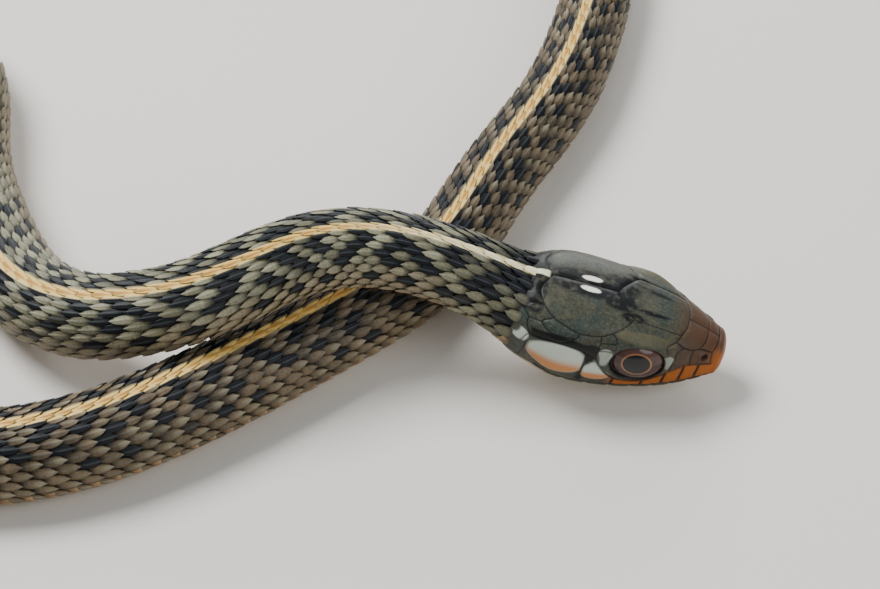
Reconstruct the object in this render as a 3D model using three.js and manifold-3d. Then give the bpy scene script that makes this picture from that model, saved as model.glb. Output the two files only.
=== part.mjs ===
// A young checkered garter snake at life size, lying on the floor with its neck over its own body.
// Millimetres, +Z up. s is the distance along the snake from the tip of its snout.
// phi goes round a section from the middle of the back, positive towards the snake's left.

import * as THREE from "three";
import { mergeVertices } from "three/addons/utils/BufferGeometryUtils.js";
import Module from "manifold-3d";

const wasm = await Module();
wasm.setup();

// Lengths along the snake
const HEAD_END = 12;
const VENT = 190;
const TOTAL = 250;
const GAP = 0.3;
const BODY_CUTS = [30, 52, 74, 96, 120, 144, 168];

// The route in plan: where the back of the skull lies, and the way the body runs, in degrees, every 8 mm on
const NAPE = { s: 10.5, x: 22.5, y: -19.09, z: 4.7 };
const HEADINGS = [
  172, 169, 208, 166, 120, 107, 96, 157, 207, 263, 273, 291, 315, 339, 368, 390,
  396, 401, 425, 421, 434, 445, 481, 525, 556, 563, 536, 509, 504, 528, 561,
];
const HEADING_STEP = 8;
// The head is straight and points down towards its snout
const HEAD_PITCH = THREE.MathUtils.degToRad(12);

// Height of the axis over the floor where the body is raised: [s, mm]. The neck crosses over s 145.
const RAISED = [
  [NAPE.s, NAPE.z], [14, 6.15], [16.5, 6.95], [19.5, 7.25], [24, 7.2], [27, 6.95], [30, 6.4],
  [33, 5.55], [36, 4.5], [39.5, 3.55], [43.5, 2.85], [48.5, 2.42], [52.5, 2.25], [60, 2.2],
];

// Half-width, height over the axis and depth under it: [s, mm]
const HALF_WIDTH = [
  [0, 0.9], [0.6, 1.3], [1.5, 1.75], [3, 2.35], [5, 2.82], [6.5, 3.12], [8, 3.4], [9.3, 3.5],
  [10.5, 3.25], [11.5, 2.8], [12.5, 2.45], [14.5, 2.2], [20, 2.15], [30, 2.28], [45, 2.48], [65, 2.58],
  [100, 2.68], [130, 2.62], [148, 2.3], [170, 2.12], [VENT, 1.8], [196, 1.58], [215, 1.08],
  [235, 0.55], [TOTAL, 0.16],
];
const RISE = [
  [0, 0.5], [0.6, 0.9], [1.5, 1.3], [3, 1.8], [5, 2.15], [7, 2.35], [11, 2.38], [13, 2.18], [20, 2.08],
  [45, 2.35], [100, 2.58], [130, 2.5], [148, 2.2], [170, 2.05], [VENT, 1.72], [196, 1.52], [215, 1.04],
  [235, 0.53], [TOTAL, 0.16],
];
const DEPTH = [
  [0, 0.8], [0.6, 1.25], [1.5, 1.7], [3, 2.2], [6, 2.68], [9, 2.75], [11, 2.4], [12.5, 2.1], [14.5, 1.98],
  [20, 1.95], [45, 2.18], [60, 2.2], [100, 2.3], [130, 2.25], [150, 2.12], [170, 1.95], [VENT, 1.62],
  [196, 1.45], [215, 1.0], [235, 0.5], [TOTAL, 0.15],
];
// How square a section is: 1 is an ellipse, and less is squarer
const ROUNDNESS = [[0, 0.85], [2, 0.74], [5, 0.64], [9, 0.74], [12, 0.92], [15, 1], [TOTAL, 1]];
// The flat of the belly, as a share of the ellipse that it cuts off
const BELLY_FLAT = 1.16;

// The eye, the mouth and the nostril, in the head's own frame
const EYE = { s: 4.8, out: 2.2, up: 0, along: 1.6, tall: 1.35, deep: 0.95 };
// The ridge over each eye: where it is, how far it runs and how much it swells the section
const BROW = { s: 4.7, length: 1.6, phi: 56, width: 13, swell: 0.13 };
// The ends of the belly plates, along each side: how far apart, how deep their steps, and where round the body
const PLATE = { pitch: 2.4, step: 0.16, from: 112, full: 128, fade: 152 };
// The large shields of the crown, the middle one and those of the left side: four corners as [s, phi in degrees]
const SHIELD_RISE = 0.09;
const FRONTAL = [[2.65, -24], [6.1, -11], [6.1, 11], [2.65, 24]];
const SHIELDS = [
  [[6.75, 1.5], [10.3, 1.5], [10.7, 32], [6.75, 46]],
  [[2.95, 31], [5.6, 24], [6.3, 43], [3.2, 43]],
  [[1.35, 1.5], [2.35, 1.5], [2.7, 38], [1.65, 44]],
];
const MOUTH = [[-1, -0.55], [0, -0.62], [2, -1.25], [5, -1.9], [8, -1.95], [10.3, -1.45]];
const NOSTRIL = { s: 0.95, out: 1.5, up: 0.05, radius: 0.24 };

// Smooth curve through [s, value] knots, with a slope of its own at the first where one is given
function smooth(knots, s, firstSlope) {
  const last = knots.length - 1;
  if (s <= knots[0][0]) return knots[0][1];
  if (s >= knots[last][0]) return knots[last][1];
  let i = 0;
  while (s > knots[i + 1][0]) i += 1;
  const slope = (k) => {
    if (k === 0 && firstSlope !== undefined) return firstSlope;
    const a = knots[Math.max(k - 1, 0)];
    const b = knots[Math.min(k + 1, last)];
    return (b[1] - a[1]) / (b[0] - a[0]);
  };
  const [s0, v0] = knots[i];
  const [s1, v1] = knots[i + 1];
  const h = s1 - s0;
  const t = (s - s0) / h;
  const bend = t * t * (3 - 2 * t);
  const start = t * (1 - t) * (1 - t) * h * slope(i);
  const end = t * t * (t - 1) * h * slope(i + 1);
  return v0 + (v1 - v0) * bend + start + end;
}

// The axis of the body as a table of plan positions, a quarter of a millimetre apart
const TABLE_STEP = 0.25;
const headingKnots = HEADINGS.map((degrees, i) => [NAPE.s + i * HEADING_STEP, degrees]);
const plan = [new THREE.Vector2(NAPE.x, NAPE.y)];
for (let s = NAPE.s; s < TOTAL + 1; s += TABLE_STEP) {
  const way = THREE.MathUtils.degToRad(smooth(headingKnots, s + TABLE_STEP / 2));
  plan.push(plan.at(-1).clone().add(new THREE.Vector2(Math.cos(way), Math.sin(way)).multiplyScalar(TABLE_STEP)));
}

function axisPoint(s) {
  if (s < NAPE.s) {
    const back = new THREE.Vector3(Math.cos(HEAD_PITCH), 0, Math.sin(HEAD_PITCH));
    back.applyAxisAngle(new THREE.Vector3(0, 0, 1), THREE.MathUtils.degToRad(HEADINGS[0]));
    return new THREE.Vector3(NAPE.x, NAPE.y, NAPE.z).addScaledVector(back, s - NAPE.s);
  }
  const place = (s - NAPE.s) / TABLE_STEP;
  const i = Math.min(Math.floor(place), plan.length - 2);
  const flat = plan[i].clone().lerp(plan[i + 1], place - i);
  const raisedEnd = RAISED.at(-1)[0];
  const height = s < raisedEnd ? smooth(RAISED, s, Math.tan(HEAD_PITCH)) : smooth(DEPTH, s);
  return new THREE.Vector3(flat.x, flat.y, Math.max(height, smooth(DEPTH, s)));
}

// A frame on the axis: tailward along, to the snake's left, and up over its back
function axisFrame(s) {
  const along = axisPoint(s + TABLE_STEP).sub(axisPoint(s - TABLE_STEP)).normalize();
  const left = new THREE.Vector3(along.y, -along.x, 0).normalize();
  return { at: axisPoint(s), along, left, up: new THREE.Vector3().crossVectors(along, left).negate() };
}

const power = (x, exponent) => Math.sign(x) * Math.abs(x) ** exponent;

const hump = (x, width) => Math.exp(-((x / width) ** 2));
const degrees = (phi) => Math.abs(THREE.MathUtils.euclideanModulo(THREE.MathUtils.radToDeg(phi) + 180, 360) - 180);

// A section's outline: how far out and how far up from the axis
function outline(s, phi) {
  const exponent = smooth(ROUNDNESS, s);
  const brow = 1 + BROW.swell * hump(s - BROW.s, BROW.length) * hump(degrees(phi) - BROW.phi, BROW.width);
  const out = smooth(HALF_WIDTH, s) * power(Math.sin(phi), exponent) * brow;
  const cos = power(Math.cos(phi), exponent);
  const flat = Math.max(-1, cos * BELLY_FLAT);
  return [out, cos > 0 ? smooth(RISE, s) * cos * brow : smooth(DEPTH, s) * flat];
}

// A point that stands out from the skin by lift, away from the axis
function skinPoint(s, phi, lift = 0) {
  const { at, left, up } = axisFrame(s);
  const [out, rise] = outline(s, phi);
  const far = 1 + lift / Math.hypot(out, rise);
  return at.addScaledVector(left, out * far).addScaledVector(up, rise * far);
}

// How far a belly plate's end stands back from the skin: most at its front edge, and nothing at its free one
function plateStep(share, phi) {
  const turn = degrees(phi);
  const rise = THREE.MathUtils.smoothstep(turn, PLATE.from, PLATE.full);
  return -PLATE.step * (1 - share) * rise * (1 - THREE.MathUtils.smoothstep(turn, PLATE.full, PLATE.fade));
}

// A closed tube of skin through stations, each a place along the snake and a share of the way along its plate
function tube(stations, sides) {
  const positions = [];
  for (const { s, share } of stations) {
    const girth = smooth(HALF_WIDTH, s) / smooth(HALF_WIDTH, 100);
    for (let k = 0; k < sides; k += 1) {
      const phi = (k / sides) * 2 * Math.PI;
      positions.push(...skinPoint(s, phi, girth * plateStep(share, phi)).toArray());
    }
  }
  const index = [];
  for (let r = 0; r + 1 < stations.length; r += 1) {
    for (let k = 0; k < sides; k += 1) {
      const a = r * sides + k;
      const b = r * sides + ((k + 1) % sides);
      index.push(a, b, a + sides, b, b + sides, a + sides);
    }
  }
  const cap = (ring, forward) => {
    const middle = positions.length / 3;
    positions.push(...axisPoint(stations[ring].s).toArray());
    for (let k = 0; k < sides; k += 1) {
      const a = ring * sides + k;
      const b = ring * sides + ((k + 1) % sides);
      index.push(...(forward ? [middle, b, a] : [middle, a, b]));
    }
  };
  cap(0, true);
  cap(stations.length - 1, false);
  const geometry = new THREE.BufferGeometry();
  geometry.setAttribute("position", new THREE.Float32BufferAttribute(positions, 3));
  geometry.setIndex(index);
  return geometry;
}

// Stations for a plain stretch, a step apart
function plainStations(from, to, step) {
  const count = Math.max(2, Math.round((to - from) / step));
  return Array.from({ length: count + 1 }, (_, i) => ({ s: from + ((to - from) * i) / count, share: 1 }));
}

// Stations for a length of body: two for each belly plate, at its sunk front edge and its free one
function platedStations(from, to) {
  const count = Math.max(2, Math.round((to - from) / PLATE.pitch));
  const pitch = (to - from) / count;
  const lip = 0.05 * pitch;
  const stations = [];
  for (let i = 0; i < count; i += 1) {
    const start = from + i * pitch;
    stations.push({ s: i === 0 ? start : start + lip, share: 0 }, { s: start + pitch, share: 1 });
  }
  return stations;
}

function solid(geometry) {
  const bare = geometry.clone();
  bare.deleteAttribute("normal");
  bare.deleteAttribute("uv");
  const merged = mergeVertices(bare, 1e-5);
  const triVerts = Uint32Array.from(merged.index.array);
  const vertProperties = Float32Array.from(merged.attributes.position.array);
  return new wasm.Manifold(new wasm.Mesh({ numProp: 3, vertProperties, triVerts }));
}

// The largest closed surface of a solid, as a geometry
function largest(body) {
  const pieces = body.decompose().sort((a, b) => b.volume() - a.volume());
  const mesh = pieces[0].getMesh();
  const geometry = new THREE.BufferGeometry();
  geometry.setAttribute("position", new THREE.Float32BufferAttribute(mesh.vertProperties, 3));
  geometry.setIndex(new THREE.Uint32BufferAttribute(mesh.triVerts, 1));
  return geometry;
}

// The head is straight, so one matrix carries its own frame (left, up, forward from the snout) to its place
function headMatrix() {
  const { at, along, left, up } = axisFrame(HEAD_END / 2);
  const snout = at.addScaledVector(along, -HEAD_END / 2);
  return new THREE.Matrix4().makeBasis(left, up, along.negate()).setPosition(snout);
}

function eyeball(side, extra) {
  const ball = new THREE.SphereGeometry(1, 24, 16);
  ball.scale(EYE.deep + extra, EYE.tall + extra, EYE.along + extra);
  ball.translate(side * EYE.out, EYE.up, -EYE.s);
  return ball.applyMatrix4(headMatrix());
}

// Everything under a line that follows the mouth, as wide as the head
function underMouth(shift) {
  const chin = -5;
  const corner = MOUTH.at(-1)[0] + shift;
  const shape = new THREE.Shape();
  shape.moveTo(MOUTH[0][0], chin);
  for (let s = MOUTH[0][0]; s < corner; s += 0.5) shape.lineTo(s, smooth(MOUTH, s) + shift);
  shape.lineTo(corner, smooth(MOUTH, corner) + shift);
  shape.lineTo(corner - 0.8, chin);
  const block = new THREE.ExtrudeGeometry(shape, { depth: 10, bevelEnabled: false });
  block.translate(0, 0, -5);
  // The shape's x runs back along the head, and its depth across it
  return block.rotateY(Math.PI / 2).applyMatrix4(headMatrix());
}

function nostril(side) {
  const pit = new THREE.SphereGeometry(NOSTRIL.radius, 10, 8);
  pit.translate(side * NOSTRIL.out, NOSTRIL.up, -NOSTRIL.s);
  return pit.applyMatrix4(headMatrix());
}

// A shield as a thin curved block on the skin, from its four corners
function shieldBlock(corners, side) {
  const cells = 6;
  const across = cells + 1;
  const positions = [];
  for (const lift of [SHIELD_RISE, -2 * SHIELD_RISE]) {
    for (let i = 0; i < across; i += 1) {
      for (let j = 0; j < across; j += 1) {
        const [u, v] = [i / cells, j / cells];
        const corner = (axis) =>
          (1 - v) * ((1 - u) * corners[0][axis] + u * corners[1][axis]) +
          v * ((1 - u) * corners[3][axis] + u * corners[2][axis]);
        positions.push(...skinPoint(corner(0), side * THREE.MathUtils.degToRad(corner(1)), lift).toArray());
      }
    }
  }
  const index = [];
  const quad = (a, b, c, d) => index.push(...(side > 0 ? [a, b, c, a, c, d] : [a, c, b, a, d, c]));
  const under = across * across;
  for (let i = 0; i < cells; i += 1) {
    for (let j = 0; j < cells; j += 1) {
      const a = i * across + j;
      quad(a, a + across, a + across + 1, a + 1);
      quad(under + a, under + a + 1, under + a + across + 1, under + a + across);
    }
    const edges = [
      [i, i + 1], [cells * across + i + 1, cells * across + i],
      [(i + 1) * across, i * across], [i * across + cells, (i + 1) * across + cells],
    ];
    for (const [a, b] of edges) quad(a, b, b + under, a + under);
  }
  const geometry = new THREE.BufferGeometry();
  geometry.setAttribute("position", new THREE.Float32BufferAttribute(positions, 3));
  geometry.setIndex(index);
  return geometry;
}

function headSolids() {
  const bare = solid(tube([{ s: 0, share: 1 }, ...plainStations(0.25, HEAD_END, 0.6)], 36));
  const pairs = [-1, 1].flatMap((side) => SHIELDS.map((corners) => solid(shieldBlock(corners, side))));
  const whole = [solid(shieldBlock(FRONTAL, 1)), ...pairs].reduce((body, block) => body.add(block), bare);
  const cuts = [-1, 1].flatMap((side) => [solid(eyeball(side, GAP)), solid(nostril(side))]);
  const skull = cuts.reduce((body, cut) => body.subtract(cut), whole).subtract(solid(underMouth(GAP / 2)));
  const jaw = whole.intersect(solid(underMouth(-GAP / 2)));
  return { head: largest(skull), lower_jaw: largest(jaw) };
}

const colours = { head: 0x5a5c4a, lower_jaw: 0xc9b48a, eye: 0x3a241a, body: 0x857a5e, tail: 0x70664e };

const snake = new THREE.Group();

function addNode(name, geometry, colour, roughness) {
  const material = new THREE.MeshStandardMaterial({ color: colour, roughness, metalness: 0 });
  const node = new THREE.Mesh(geometry, material);
  node.name = name;
  snake.add(node);
}

const { head, lower_jaw: lowerJaw } = headSolids();
addNode("head", head, colours.head, 0.5);
addNode("lower_jaw", lowerJaw, colours.lower_jaw, 0.5);
addNode("eye_left", eyeball(1, 0), colours.eye, 0.1);
addNode("eye_right", eyeball(-1, 0), colours.eye, 0.1);

// The neck, the lengths of the body and the tail, each a little apart from the next
const cuts = [HEAD_END, ...BODY_CUTS, VENT, 220, TOTAL];
for (let i = 0; i + 1 < cuts.length; i += 1) {
  const inTail = cuts[i] >= VENT;
  const name = i === 0 ? "neck" : inTail ? ["tail_base", "tail_tip"][i - cuts.length + 3] : `body_${i}`;
  const from = cuts[i] + GAP / 2 + (i === 0 ? GAP / 2 : 0);
  const to = cuts[i + 1] - (i + 2 < cuts.length ? GAP / 2 : 0);
  addNode(name, tube(platedStations(from, to), 24), inTail ? colours.tail : colours.body, 0.55);
}

export default snake;
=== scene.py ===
"""A young checkered garter snake at life size, with its neck lying over its own body.

The form repeats the solids' named sizes in millimetres. s is the distance along the snake from the tip
of its snout, and phi goes round a section in degrees from the middle of the back, positive to its left.
"""

from __future__ import annotations

import logging
import math
from dataclasses import dataclass
from enum import Enum

import bmesh
import bpy
import numpy as np
from bpy.types import ID, Material, Mesh, NodeSocket, NodeTree, Object
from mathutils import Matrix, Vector
from mathutils.kdtree import KDTree

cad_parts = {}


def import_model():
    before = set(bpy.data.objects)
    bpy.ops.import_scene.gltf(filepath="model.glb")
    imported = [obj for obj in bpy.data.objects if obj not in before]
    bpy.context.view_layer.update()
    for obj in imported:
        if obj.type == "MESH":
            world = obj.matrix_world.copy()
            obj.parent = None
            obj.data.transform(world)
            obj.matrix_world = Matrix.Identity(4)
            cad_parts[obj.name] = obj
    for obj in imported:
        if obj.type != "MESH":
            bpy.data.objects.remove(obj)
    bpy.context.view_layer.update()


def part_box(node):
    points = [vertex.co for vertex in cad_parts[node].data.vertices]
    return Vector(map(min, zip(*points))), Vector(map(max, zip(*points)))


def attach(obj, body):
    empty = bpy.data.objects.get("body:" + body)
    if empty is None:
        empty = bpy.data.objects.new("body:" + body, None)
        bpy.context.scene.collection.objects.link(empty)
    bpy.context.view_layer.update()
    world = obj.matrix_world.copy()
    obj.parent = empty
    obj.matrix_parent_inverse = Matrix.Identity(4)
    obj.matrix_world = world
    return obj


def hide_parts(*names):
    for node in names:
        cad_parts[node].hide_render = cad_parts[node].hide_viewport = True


MM = 0.001
HEAD_END = 12.0
VENT = 190.0
TOTAL = 250.0
SEED = 7
# Keeps a division from meeting zero
TINY = 1e-9
# The eye, in the head's own frame: its place along, its height over the axis and its three half-sizes
EYE_S = 4.8
EYE_UP = 0.0
EYE_ALONG, EYE_TALL, EYE_DEEP = 1.6, 1.35, 0.95

log = logging.getLogger("snake")

Array = np.ndarray
Pair = tuple[float, float]
# Places with a value or an angle for each, in order
Knots = tuple[Pair, ...]


def smooth(knots: Knots, s: Array, first_slope: float | None = None) -> Array:
    """Follow a smooth curve through knots.

    Args:
        knots: places and values, in order.
        s: the places to read.
        first_slope: the slope at the first knot, where it isn't worked out from the next.

    Returns:
        The value at each place.
    """
    place, value = np.array(knots, float).T
    last = len(place) - 1
    before = np.maximum(np.arange(last + 1) - 1, 0)
    after = np.minimum(np.arange(last + 1) + 1, last)
    slope = (value[after] - value[before]) / (place[after] - place[before])
    if first_slope is not None:
        slope[0] = first_slope
    s = np.clip(s, place[0], place[-1])
    i = np.clip(np.searchsorted(place, s, side="right") - 1, 0, last - 1)
    h = place[i + 1] - place[i]
    t = (s - place[i]) / h
    bend = value[i] + (value[i + 1] - value[i]) * t * t * (3 - 2 * t)
    return bend + t * (1 - t) ** 2 * h * slope[i] + t * t * (t - 1) * h * slope[i + 1]


def hump(x: Array, width: float) -> Array:
    """Give a smooth bump of height 1 at 0 that has faded to a third at width."""
    return np.exp(-((x / width) ** 2))


def ramp(x: Array, low: float, high: float) -> Array:
    """Rise smoothly from 0 at low to 1 at high."""
    t = np.clip((x - low) / (high - low), 0, 1)
    return t * t * (3 - 2 * t)


def wrap(phi: Array) -> Array:
    """Bring angles in degrees between -180 and 180."""
    return (phi + 180) % 360 - 180


@dataclass(frozen=True)
class Route:
    """Where the axis of the body runs, as the solids have it."""

    nape_s: float = 10.5
    nape: tuple[float, float, float] = (22.5, -19.09, 4.7)
    pitch: float = math.radians(12)
    heading_step: float = 8.0
    table_step: float = 0.25
    headings: tuple[float, ...] = (
        172, 169, 208, 166, 120, 107, 96, 157, 207, 263, 273, 291, 315, 339, 368, 390,
        396, 401, 425, 421, 434, 445, 481, 525, 556, 563, 536, 509, 504, 528, 561,
    )
    raised: Knots = (
        (10.5, 4.7), (14, 6.15), (16.5, 6.95), (19.5, 7.25), (24, 7.2), (27, 6.95), (30, 6.4),
        (33, 5.55), (36, 4.5), (39.5, 3.55), (43.5, 2.85), (48.5, 2.42), (52.5, 2.25), (60, 2.2),
    )

    def plan(self) -> Array:
        """Work out the table of plan positions, a quarter of a millimetre apart."""
        knots = tuple((self.nape_s + i * self.heading_step, way) for i, way in enumerate(self.headings))
        s = np.arange(self.nape_s, TOTAL + 1, self.table_step)
        way = np.radians(smooth(knots, s + self.table_step / 2))
        steps = np.stack([np.cos(way), np.sin(way)], axis=-1) * self.table_step
        start = np.array([self.nape[:2]])
        return np.concatenate([start, start + np.cumsum(steps, axis=0)])


@dataclass
class Form:
    """The snake's outer shape, the same as the solids'."""

    route: Route = Route()
    half_width: Knots = (
        (0, 0.9), (0.6, 1.3), (1.5, 1.75), (3, 2.35), (5, 2.82), (6.5, 3.12), (8, 3.4), (9.3, 3.5),
        (10.5, 3.25), (11.5, 2.8), (12.5, 2.45), (14.5, 2.2), (20, 2.15), (30, 2.28), (45, 2.48),
        (65, 2.58), (100, 2.68), (130, 2.62), (148, 2.3), (170, 2.12), (VENT, 1.8), (196, 1.58),
        (215, 1.08), (235, 0.55), (TOTAL, 0.16),
    )
    rise: Knots = (
        (0, 0.5), (0.6, 0.9), (1.5, 1.3), (3, 1.8), (5, 2.15), (7, 2.35), (11, 2.38), (13, 2.18),
        (20, 2.08), (45, 2.35), (100, 2.58), (130, 2.5), (148, 2.2), (170, 2.05), (VENT, 1.72),
        (196, 1.52), (215, 1.04), (235, 0.53), (TOTAL, 0.16),
    )
    depth: Knots = (
        (0, 0.8), (0.6, 1.25), (1.5, 1.7), (3, 2.2), (6, 2.68), (9, 2.75), (11, 2.4), (12.5, 2.1),
        (14.5, 1.98), (20, 1.95), (45, 2.18), (60, 2.2), (100, 2.3), (130, 2.25), (150, 2.12),
        (170, 1.95), (VENT, 1.62), (196, 1.45), (215, 1.0), (235, 0.5), (TOTAL, 0.15),
    )
    roundness: Knots = ((0, 0.85), (2, 0.74), (5, 0.64), (9, 0.74), (12, 0.92), (15, 1), (TOTAL, 1))
    belly_flat: float = 1.16
    brow_s: float = 4.7
    brow_length: float = 1.6
    brow_phi: float = 56.0
    brow_width: float = 13.0
    brow_swell: float = 0.13
    slope_step: float = 3.0
    full_width: float = 2.4
    tip: float = 0.05

    def __post_init__(self) -> None:
        """Keep the plan table, which every point needs."""
        self.table = self.route.plan()

    def axis(self, s: Array) -> Array:
        """Place points on the axis.

        Args:
            s: distances along the snake.

        Returns:
            A point for each distance.
        """
        route = self.route
        place = np.clip((s - route.nape_s) / route.table_step, 0, len(self.table) - 1.001)
        i = place.astype(int)
        part = (place - i)[..., None]
        flat = self.table[i] * (1 - part) + self.table[i + 1] * part
        rest = smooth(self.depth, s)
        lifted = smooth(route.raised, s, math.tan(route.pitch))
        height = np.where(s < route.raised[-1][0], np.maximum(lifted, rest), rest)
        body = np.concatenate([flat, height[..., None]], axis=-1)
        way = math.radians(route.headings[0])
        flat_part = math.cos(route.pitch)
        back = np.array([math.cos(way) * flat_part, math.sin(way) * flat_part, math.sin(route.pitch)])
        head = np.array(route.nape) + (s - route.nape_s)[..., None] * back
        return np.where((s < route.nape_s)[..., None], head, body)

    def frame(self, s: Array) -> tuple[Array, Array, Array]:
        """Give the frame on the axis.

        Args:
            s: distances along the snake.

        Returns:
            The point, the way to the snake's left and the way up over its back, for each distance.
        """
        step = self.route.table_step
        along = self.axis(s + step) - self.axis(s - step)
        along /= np.linalg.norm(along, axis=-1, keepdims=True)
        left = np.stack([along[..., 1], -along[..., 0], np.zeros_like(s)], axis=-1)
        left /= np.linalg.norm(left, axis=-1, keepdims=True)
        return self.axis(s), left, -np.cross(along, left)

    def outline(self, s: Array, phi: Array) -> tuple[Array, Array]:
        """Give a section's outline.

        Args:
            s: distances along the snake.
            phi: angles round the section, in degrees.

        Returns:
            How far out to the left and how far up from the axis each point lies.
        """
        power = smooth(self.roundness, s)
        turn = np.radians(phi)
        sine = np.sign(np.sin(turn)) * np.abs(np.sin(turn)) ** power
        cosine = np.sign(np.cos(turn)) * np.abs(np.cos(turn)) ** power
        above_eye = hump(np.abs(phi) - self.brow_phi, self.brow_width)
        brow = 1 + self.brow_swell * (hump(s - self.brow_s, self.brow_length) * above_eye)
        out = smooth(self.half_width, s) * sine * brow
        over = smooth(self.rise, s) * cosine * brow
        under = smooth(self.depth, s) * np.maximum(-1, cosine * self.belly_flat)
        return out, np.where(cosine > 0, over, under)

    def surface(self, s: Array, phi: Array, lift: Array | float = 0.0) -> Array:
        """Place points on or near the surface.

        Args:
            s: distances along the snake.
            phi: angles round the section, in degrees.
            lift: how far each point stands out from the surface.

        Returns:
            A point for each pair, in millimetres.
        """
        s, phi, lift = np.broadcast_arrays(s, phi, lift)
        at, left, up = self.frame(s)
        out, rise = self.outline(s, phi)
        out_a, rise_a = self.outline(s, phi - self.slope_step)
        out_b, rise_b = self.outline(s, phi + self.slope_step)
        normal_out = rise_a - rise_b
        normal_up = out_b - out_a
        size = np.hypot(normal_out, normal_up) + TINY
        out = out + lift * normal_out / size
        rise = rise + lift * normal_up / size
        return at + left * out[..., None] + up * rise[..., None]

    def cover(self, s: Array, phi: Array, lift: Array) -> Array:
        """Place points of the coat as surface() does, short of the tail's tip and over the floor."""
        points = self.surface(np.minimum(s, TOTAL - self.tip), wrap(phi), lift)
        return np.maximum(points, (-np.inf, -np.inf, 0))

    def fullness(self, s: Array, least: float) -> Array:
        """Give the share of their full size that small shapes have where the body thins."""
        return np.clip(smooth(self.half_width, s) / self.full_width, least, 1)


class Side(Enum):
    """The two sides of the snake, as the sign of the way out to them."""

    LEFT = 1
    RIGHT = -1


@dataclass(frozen=True)
class CheckLine:
    """One line of dark checks along the body, measured in scale rows from the middle of the back."""

    row: float
    turn: float
    less: float
    solid: float
    gone: float


@dataclass(frozen=True)
class Markings:
    """Where the stripe, the dark checks and the brown of the hind body lie."""

    period: float = 2.55
    lines: tuple[CheckLine, ...] = (
        CheckLine(row=2.0, turn=0.0, less=0.0, solid=1.0, gone=1.7),
        CheckLine(row=4.75, turn=math.pi, less=0.1, solid=0.5, gone=1.4),
        CheckLine(row=7.2, turn=0.4, less=0.35, solid=0.4, gone=1.2),
    )
    blackness: Knots = (
        (10, 0.25), (40, 0.12), (90, 0.05), (110, -0.1), (150, -0.15), (VENT, -0.3), (TOTAL, -0.45),
    )
    waves: tuple[tuple[float, float, float, float], ...] = (
        (0.5, 0.83, 2.1, 0), (0.5, 0.37, 1, 0), (0.4, 2.9, 0, 4.3),
    )
    wobble: float = 0.45
    slant: float = 0.1
    out_of_step: float = 0.9
    contrast: float = 2.2
    nape_end: float = 15.0
    nape_rows: float = 4.6
    stripe_half: Knots = (
        (10.4, 0.5), (12, 0.5), (16, 0.62), (40, 0.9), (60, 0.92), (150, 0.85), (VENT, 0.75), (TOTAL, 0.6),
    )
    stripe_edge: Pair = (-0.05, 0.07)
    browning: Pair = (60, 112)

    def dark(self, s: Array, row: Array) -> Array:
        """Give how black the skin is.

        Args:
            s: distances along the snake.
            row: signed scale rows from the middle of the back.

        Returns:
            0 where the ground colour shows and 1 inside a check.
        """
        side, across = np.sign(row), np.abs(row)
        wave = sum(
            high * np.sin(along * s + sided * side + spread * across)
            for high, along, sided, spread in self.waves
        )
        turn = 2 * math.pi * (s + self.slant * across) / self.period
        turn = turn + self.out_of_step * side + self.wobble * wave
        size = smooth(self.blackness, s)
        checks = np.maximum.reduce([
            np.cos(turn + line.turn) + size - line.less
            - self.contrast * ramp(np.abs(across - line.row), line.solid, line.gone)
            for line in self.lines
        ])
        nape = ramp(self.nape_end - s, 0, 2.5) * ramp(across, 0.6, 1.0)
        nape = nape * ramp(self.nape_rows - across, 0, 1)
        return np.maximum(ramp(checks, 0.0, 0.2), nape)

    def stripe(self, s: Array, row: Array) -> Array:
        """Give where the stripe along the back lies, 1 in it and 0 outside, for signed scale rows."""
        width = smooth(self.stripe_half, s)
        return 1 - ramp(np.abs(row), width + self.stripe_edge[0], width + self.stripe_edge[1])

    def rear(self, s: Array) -> Array:
        """Give how far the ground has turned from greenish grey to the brown of the hind body."""
        return ramp(s, *self.browning)


@dataclass
class Coat:
    """The lattice of the keeled scales: rings a pitch apart, and rows that widen towards the belly."""

    belly_edge: float = 113.0
    narrow: float = 0.7
    pitch: Knots = (
        (HEAD_END - 1, 0.92), (16, 1.05), (30, 1.1), (150, 1.08), (VENT, 0.98), (215, 0.85), (TOTAL, 0.55),
    )
    rows: Knots = (
        (11, 18), (30, 19), (60, 21), (110, 21), (150, 18.6), (VENT, 16.6), (200, 13), (225, 9), (TOTAL, 6),
    )
    roll: Knots = ((11, 1), (22, 12), (34, 15), (44, 24), (60, 12), (90, 0), (145, 2), (TOTAL, 0))

    def stations(self, start: float, end: float) -> Array:
        """List the places of the rings of scales, each a pitch after the last."""
        rings = [start]
        while rings[-1] < end:
            rings.append(rings[-1] + float(smooth(self.pitch, np.array(rings[-1]))))
        return np.array(rings)

    def half(self, s: Array) -> Array:
        """Give the number of rows from the middle of the back to the belly."""
        return smooth(self.rows, s) / 2

    def angle(self, s: Array, row: Array) -> Array:
        """Give the angle round the body at which a signed row lies, in degrees."""
        share = np.abs(row) / self.half(s)
        turned = self.belly_edge * (self.narrow * share + (1 - self.narrow) * share * share)
        return np.sign(row) * turned - smooth(self.roll, s)

    def row(self, s: Array, phi: Array) -> Array:
        """Find the signed scale row at a place on the skin, the other way round from angle().

        Args:
            s: distances along the snake.
            phi: angles round the section, in degrees.

        Returns:
            The row, with the part of it where a place lies between two.
        """
        turned = wrap(phi + smooth(self.roll, s))
        level = np.abs(turned) / self.belly_edge
        rest = 1 - self.narrow
        share = (np.sqrt(self.narrow**2 + 4 * rest * level) - self.narrow) / (2 * rest)
        return np.sign(turned) * share * self.half(s)


def new_object(name: str, data: ID) -> Object:
    """Link a new object for a mesh, a light or a camera, at the origin."""
    piece = bpy.data.objects.new(name, data)
    bpy.context.scene.collection.objects.link(piece)
    return piece


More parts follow.
